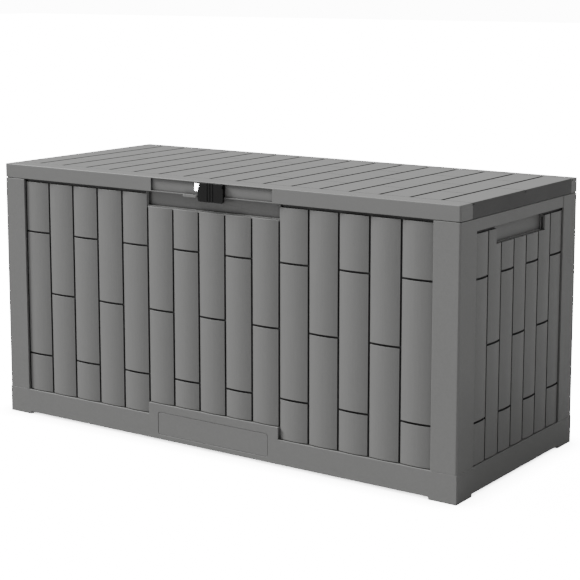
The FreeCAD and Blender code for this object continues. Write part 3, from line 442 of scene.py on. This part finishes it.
wall_resin = make_resin("wall_resin", RESIN_GREY, GROOVE_DARK, WORN_GREY, ALONG_Z)
lid_resin = make_resin("lid_resin", RESIN_GREY, GROOVE_DARK, WORN_GREY, ALONG_Y, dirt_and_shade_colour=LID_DIRT_AND_SHADE_GREY,
                       planks=True)
plain_resin = make_resin("plain_resin", RESIN_GREY, GROOVE_DARK, WORN_GREY, EVEN, groove=1.0)
black_resin = make_resin("black_resin", LATCH_BLACK, LATCH_DARK, LATCH_WORN, EVEN, groove=0.8,
                         rough=(0.52, 0.62), wear=0.3, shine=0.15)
print("resins ready")

# %% [markdown]
# Metal: the struts, hinges and screws are plated or painted steel. Brushing is the same stretched noise,
# used on the roughness and a faint bump, with a few darker spots where the plating has dulled.

# %% Metals
def make_metal(name, colour, spots, rough, stretch, metallic=1.0, bump=0.05):
    material, tree, shader = new_material(name)
    grain = add(tree, "ShaderNodeGroup", node_tree=board_grain)
    grain.inputs["Stretch"].default_value = stretch
    grain.inputs["Streak Scale"].default_value = 900.0
    worn = add(tree, "ShaderNodeGroup", node_tree=edge_wear)
    worn.inputs["Radius"].default_value = 0.0008
    dull = spread(tree, grain.outputs["Cloud"], 0.45, 0.8, 0.0, 1.0)
    base = blend_colour(tree, dull, colour, spots, 0.6)
    bright = tuple(min(1.0, c * 1.25 + 0.02) for c in colour)
    wire(tree, blend_colour(tree, worn.outputs["Mask"], base, bright, 0.5), shader.inputs["Base Color"])
    wire(tree, spread(tree, grain.outputs["Tone"], 0.3, 0.7, *rough), shader.inputs["Roughness"])
    raised = add(tree, "ShaderNodeBump")
    raised.inputs["Strength"].default_value = bump
    raised.inputs["Distance"].default_value = 0.0003
    wire(tree, grain.outputs["Height"], raised.inputs["Height"])
    wire(tree, raised.outputs["Normal"], shader.inputs["Normal"])
    shader.inputs["Metallic"].default_value = metallic
    return material


ALONG_X = (0.1, 1.0, 1.0)
zinc = make_metal("zinc", (0.55, 0.56, 0.57), (0.36, 0.36, 0.36), (0.28, 0.42), ALONG_X)
bright = make_metal("bright", (0.93, 0.935, 0.94), (0.85, 0.85, 0.85), (0.05, 0.08), ALONG_X, bump=0.01)
strut_paint = make_metal("strut_paint", (0.012, 0.012, 0.013), (0.02, 0.02, 0.02), (0.28, 0.4), EVEN,
                         metallic=0.0)
print("metals ready")

# %% [markdown]
# Floor and card: the floor's paint is a mid grey with a faint cloud, so that it throws back no more light
# than the room does. The camera sees it lit up white, with a painted shade close to the box: ambient
# occlusion dims the white where the box would shade it. The card is a plain glowing white.

# %% Floor paint and card
FLOOR_SHADE_REACH = 50 * MM


def make_floor_paint():
    material, tree, shader = new_material("floor_paint")
    place = add(tree, "ShaderNodeTexCoord")
    noise = add(tree, "ShaderNodeTexNoise")
    noise.inputs["Scale"].default_value = 3.0
    wire(tree, place.outputs["Object"], noise.inputs["Vector"])
    tone = blend_colour(tree, noise.outputs["Fac"], (0.31, 0.31, 0.31), (0.34, 0.34, 0.34))
    wire(tree, tone, shader.inputs["Base Color"])
    shader.inputs["Roughness"].default_value = 0.9
    # Painted shadow: ambient occlusion dims the floor's white close to the box.
    painted_floor_shade = add(tree, "ShaderNodeAmbientOcclusion", samples=8)
    painted_floor_shade.inputs["Distance"].default_value = FLOOR_SHADE_REACH
    camera_ray = add(tree, "ShaderNodeLightPath")
    glow = math_node(tree, "MULTIPLY", camera_ray.outputs["Is Camera Ray"], BACKDROP_LIGHT)
    wire(tree, math_node(tree, "MULTIPLY", glow, painted_floor_shade.outputs["AO"]), shader.inputs["Emission Strength"])
    shader.inputs["Emission Color"].default_value = (1.0, 1.0, 1.0, 1.0)
    return material


def make_card_white():
    material, _, shader = new_material("card_white")
    shader.inputs["Emission Color"].default_value = (1.0, 1.0, 1.0, 1.0)
    shader.inputs["Emission Strength"].default_value = BACKDROP_LIGHT
    return material


floor.data.materials.append(make_floor_paint())
card.data.materials.append(make_card_white())
print("floor and card painted")

# %% [markdown]
# ## Rounded mouldings
# A moulded part has no sharp edge anywhere. The CAD parts have the right shape but knife edges, and their
# meshes are loose triangles. So each one is copied, its doubled corners are merged and its flat areas
# joined into single faces. Then every sharp edge gets a bevel weight that says how wide its rounding is,
# and one Bevel modifier rounds them all. Outward edges are rounder than inward corners, and thin ribs get
# the least.

# %% Copy, clean and round a CAD part
MERGE_DISTANCE = 0.00001
FLAT_ANGLE = math.radians(0.6)
SHARP_ANGLE = math.radians(28)
WIDEST = 2.5 * MM


def clean_copy(node):
    """A merged copy of the part's mesh, as a bmesh."""
    bm = bmesh.new()
    bm.from_mesh(nodes[node].data)
    bmesh.ops.remove_doubles(bm, verts=bm.verts, dist=MERGE_DISTANCE)
    bmesh.ops.dissolve_limit(bm, angle_limit=FLAT_ANGLE, verts=bm.verts, edges=bm.edges)
    return bm


def edge_width(edge, rule):
    """How wide an edge is rounded; nothing if it isn't sharp."""
    if not edge.is_manifold or edge.calc_face_angle(0.0) < SHARP_ANGLE:
        return 0.0
    return rule(edge)


def weigh_edges(bm, rule):
    layer = bm.edges.layers.float.new("bevel_weight_edge")
    for edge in bm.edges:
        edge[layer] = edge_width(edge, rule) / WIDEST


def to_piece(bm, name, material):
    """Turns a bmesh into an object with smooth faces."""
    for face in bm.faces:
        face.smooth = True
    mesh = bpy.data.meshes.new(name)
    bm.to_mesh(mesh)
    bm.free()
    piece = bpy.data.objects.new(name, mesh)
    bpy.context.scene.collection.objects.link(piece)
    mesh.materials.append(material)
    return piece


def round_weighted(piece, segments=3):
    bevel = piece.modifiers.new("rounding", "BEVEL")
    bevel.limit_method = "WEIGHT"
    bevel.width = WIDEST
    bevel.segments = segments
    bevel.profile = 0.5
    bevel.use_clamp_overlap = False
    evened = piece.modifiers.new("even_normals", "WEIGHTED_NORMAL")
    evened.weight = 50


def mark_dirt_and_shade(bm, holds_dirt_and_shade):
    """Marks the faces that hold dirt and painted shade, for the resin to read."""
    layer = bm.faces.layers.float.new("dirt_and_shade")
    for face in bm.faces:
        face[layer] = 1.0 if holds_dirt_and_shade(face) else 0.0


def simple_rule(outer, inner):
    """Outward edges get one width, inward corners another."""
    return lambda edge: outer if edge.is_convex else inner


def install(piece, node):
    """The piece stands for the CAD part and moves with its body; the CAD part is hidden."""
    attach(piece, body_of_node[node])
    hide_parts(node)


def moulding(node, material, rule, segments=3, holds_dirt_and_shade=None):
    bm = clean_copy(node)
    if holds_dirt_and_shade:
        mark_dirt_and_shade(bm, holds_dirt_and_shade)
    weigh_edges(bm, rule)
    piece = to_piece(bm, node + "_moulded", material)
    round_weighted(piece, segments)
    install(piece, node)
    return piece


# %% [markdown]
# ## Walls
# The walls are moulded to look like upright boards: each board is crowned, and a groove runs between it
# and the next. A groove's bottom and its sides are painted dark, partly as dirt and partly as painted shade.
# Their faces are found by how far they lie behind the wall's outermost skin: a board's own edge is the
# limit, and the groove's floor is the end.

# %% Where the dirt and painted shade sit on a wall
CROWN = {"front": 3.5 * MM, "back": 3.5 * MM, "side": 3.0 * MM}
GROOVE_DEPTH = 3.0 * MM
SLACK = 0.2 * MM


def wall_dirt_and_shade(node):
    """Tells whether a face is the floor or a side of a groove in this wall."""
    low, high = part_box(node)
    kind = node.split("_")[0]
    axis = 0 if kind == "side" else 1
    sign = 1 if kind == "back" or node == "side_panel_right" else -1
    skin = high[axis] if sign > 0 else low[axis]
    floor_depth = CROWN[kind] + GROOVE_DEPTH

    def holds_dirt_and_shade(face):
        depths = [sign * (skin - corner.co[axis]) for corner in face.verts]
        if not floor_depth - SLACK < max(depths) < floor_depth + SLACK:
            return False
        middle = (max(depths) + min(depths)) / 2
        return middle > CROWN[kind] + SLACK or abs(face.normal.z) > 0.9

    return holds_dirt_and_shade


print("groove floors lie", {k: round((v + GROOVE_DEPTH) / MM, 1) for k, v in CROWN.items()}, "mm deep")

# %% [markdown]
# The boards' own edges are rounded by little more than half a millimetre, which catches the light beside
# each dark groove. The ribs behind them, only seen with the lid open, need no more than a touch.

# %% Wall panels
BOARD_EDGE = 0.6 * MM
BOARD_FOOT = 0.3 * MM
wall_names = [n for n in nodes if "_panel_" in n]
for name in wall_names:
    moulding(name, wall_resin, simple_rule(BOARD_EDGE, BOARD_FOOT), holds_dirt_and_shade=wall_dirt_and_shade(name))
print("walls:", wall_names)

# %% [markdown]
# The corner posts cover the ends of the walls, the plinth carries them, and the badge plate sits in its
# shallow seat on the plinth, left blank. All are plain smooth mouldings with crisp, barely rounded edges.

# %% Posts, plinth, badge, floor and handle cups
OUTLINE_SLACK = (4.0 * MM, 4.0 * MM, 0.1 * MM)


def outer_edge_rule(outline, wide, narrow, inner):
    """Edges on the outline are rounder than the rest."""
    low, high = outline

    def rule(edge):
        middle = (edge.verts[0].co + edge.verts[1].co) / 2
        on_outline = sum(min(abs(middle[i] - low[i]), abs(middle[i] - high[i])) < OUTLINE_SLACK[i]
                         for i in range(3))
        if not edge.is_convex:
            return inner
        return wide if on_outline >= 2 else narrow

    return rule


for name in [n for n in nodes if n.startswith("corner_post")]:
    moulding(name, plain_resin, simple_rule(0.8 * MM, 0.4 * MM))
moulding("base_frame", plain_resin, outer_edge_rule(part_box("base_frame"), 1.2 * MM, 0.8 * MM, 0.3 * MM))
moulding("badge_plate", plain_resin, simple_rule(0.35 * MM, 0.3 * MM))
moulding("floor_panel", plain_resin, simple_rule(0.8 * MM, 0.4 * MM))
for side in ("left", "right"):
    moulding("handle_cup_" + side, plain_resin, simple_rule(0.6 * MM, 0.5 * MM))
print("posts, plinth and floor rounded")

# %% [markdown]
# ## Lid
# The lid is one big moulding made to look like planks. Its outline is the roundest edge of the whole box,
# about two millimetres, because hands and weather meet it first. The plank grooves and the thin joints
# are shallow, and dirt with painted shade makes them readable from a distance. Underneath, a ribbed liner
# stiffens it.

# %% Lid
LID_EDGE = 2.0 * MM
PLANK_EDGE = 0.35 * MM
PLANK_GROOVE_DEPTH = 2.5 * MM


def lid_dirt_and_shade(face):
    """The floors and sides of the plank grooves and joints."""
    depths = [cad_high.z - corner.co.z for corner in face.verts]
    middle = (max(depths) + min(depths)) / 2
    return SLACK < middle and max(depths) < PLANK_GROOVE_DEPTH + SLACK


lid_outline = (Vector(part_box("corner_post_front_left")[0]), Vector(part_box("corner_post_back_right")[1]))
lid_outline[0].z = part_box("corner_post_front_left")[1][2]
lid_outline[1].z = cad_high.z
moulding("lid_shell", lid_resin, outer_edge_rule(lid_outline, LID_EDGE, PLANK_EDGE, 0.25 * MM),
         holds_dirt_and_shade=lid_dirt_and_shade)
moulding("lid_liner", plain_resin, simple_rule(0.6 * MM, 0.4 * MM))
print("lid rounded")

# %% [markdown]
# ## Latch
# A black lever with three finger grooves hangs on a steel pin between two small ears. Its hook reaches in
# under the lid's lip towards a plated catch in the hand recess, and a polished plate backs it in the
# lid's pocket. The lever is small, so its roundings are kept under the width of its narrowest face.

# %% Latch
lever_rule = outer_edge_rule(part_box("latch_lever"), 0.5 * MM, 0.3 * MM, 0.2 * MM)
moulding("latch_lever", black_resin, lever_rule, segments=4)
moulding("latch_housing", black_resin, simple_rule(0.3 * MM, 0.2 * MM))
moulding("latch_plate", bright, simple_rule(0.25 * MM, 0.2 * MM))
moulding("latch_pin", zinc, simple_rule(0.2 * MM, 0.1 * MM))
moulding("catch_plate", zinc, simple_rule(0.25 * MM, 0.2 * MM))
print("latch rounded")

# %% [markdown]
# ## Hinges and gas struts
# Three steel hinges join the lid to the back wall, and two gas struts hold it up. A strut is a painted
# tube with a polished rod in it; its end fittings turn on studs that are riveted to plated brackets. A
# tube's end fitting has some very short edges, where a rounding would overrun itself and leave a spike,
# so edges with no room stay sharp.

# %% Hinges and struts
def roomy_rule(outer, inner):
    """Like the simple rule, but an edge with too little room beside it stays sharp."""
    def rule(edge):
        width = outer if edge.is_convex else inner
        room = min(beside.calc_length() for corner in edge.verts for beside in corner.link_edges)
        return width if room > 2 * width else 0.0

    return rule


for name in [n for n in nodes if n.startswith("hinge_") and not n.endswith("screws")]:
    moulding(name, zinc, simple_rule(0.25 * MM, 0.1 * MM))
for side in ("left", "right"):
    moulding("strut_cylinder_" + side, strut_paint, roomy_rule(0.3 * MM, 0.1 * MM))
    moulding("strut_rod_" + side, bright, simple_rule(0.4 * MM, 0.2 * MM))
    moulding("strut_body_bracket_" + side, zinc, simple_rule(0.3 * MM, 0.2 * MM))
    moulding("strut_lid_bracket_" + side, zinc, simple_rule(0.3 * MM, 0.2 * MM))
print("hinges and struts rounded")

# %% [markdown]
# ## Screws
# A real screw head has a drive recess. It is made here by insetting each head's round cap and pushing the
# inner part in, before the rims are rounded.

# %% Screws
RECESS_SHARE = 0.5
RECESS_DEPTH = 0.7 * MM


def head_caps(bm):
    """The outer caps of the screw heads: the largest flat round faces."""
    caps = [face for face in bm.faces if len(face.verts) > 8]
    widest = max(face.calc_area() for face in caps)
    return [face for face in caps if face.calc_area() > widest * 0.98]


def screw_moulding(node):
    bm = clean_copy(node)
    caps = head_caps(bm)
    radius = math.sqrt(caps[0].calc_area() / math.pi)
    bmesh.ops.inset_individual(bm, faces=caps, thickness=radius * RECESS_SHARE, depth=0.0)
    bmesh.ops.inset_individual(bm, faces=caps, thickness=0.1 * MM, depth=-RECESS_DEPTH)
    weigh_edges(bm, simple_rule(0.3 * MM, 0.1 * MM))
    piece = to_piece(bm, node + "_moulded", zinc)
    round_weighted(piece, 2)
    install(piece, node)
    return len(caps)


for name in [n for n in nodes if n.endswith("_screws")]:
    print(name, screw_moulding(name))
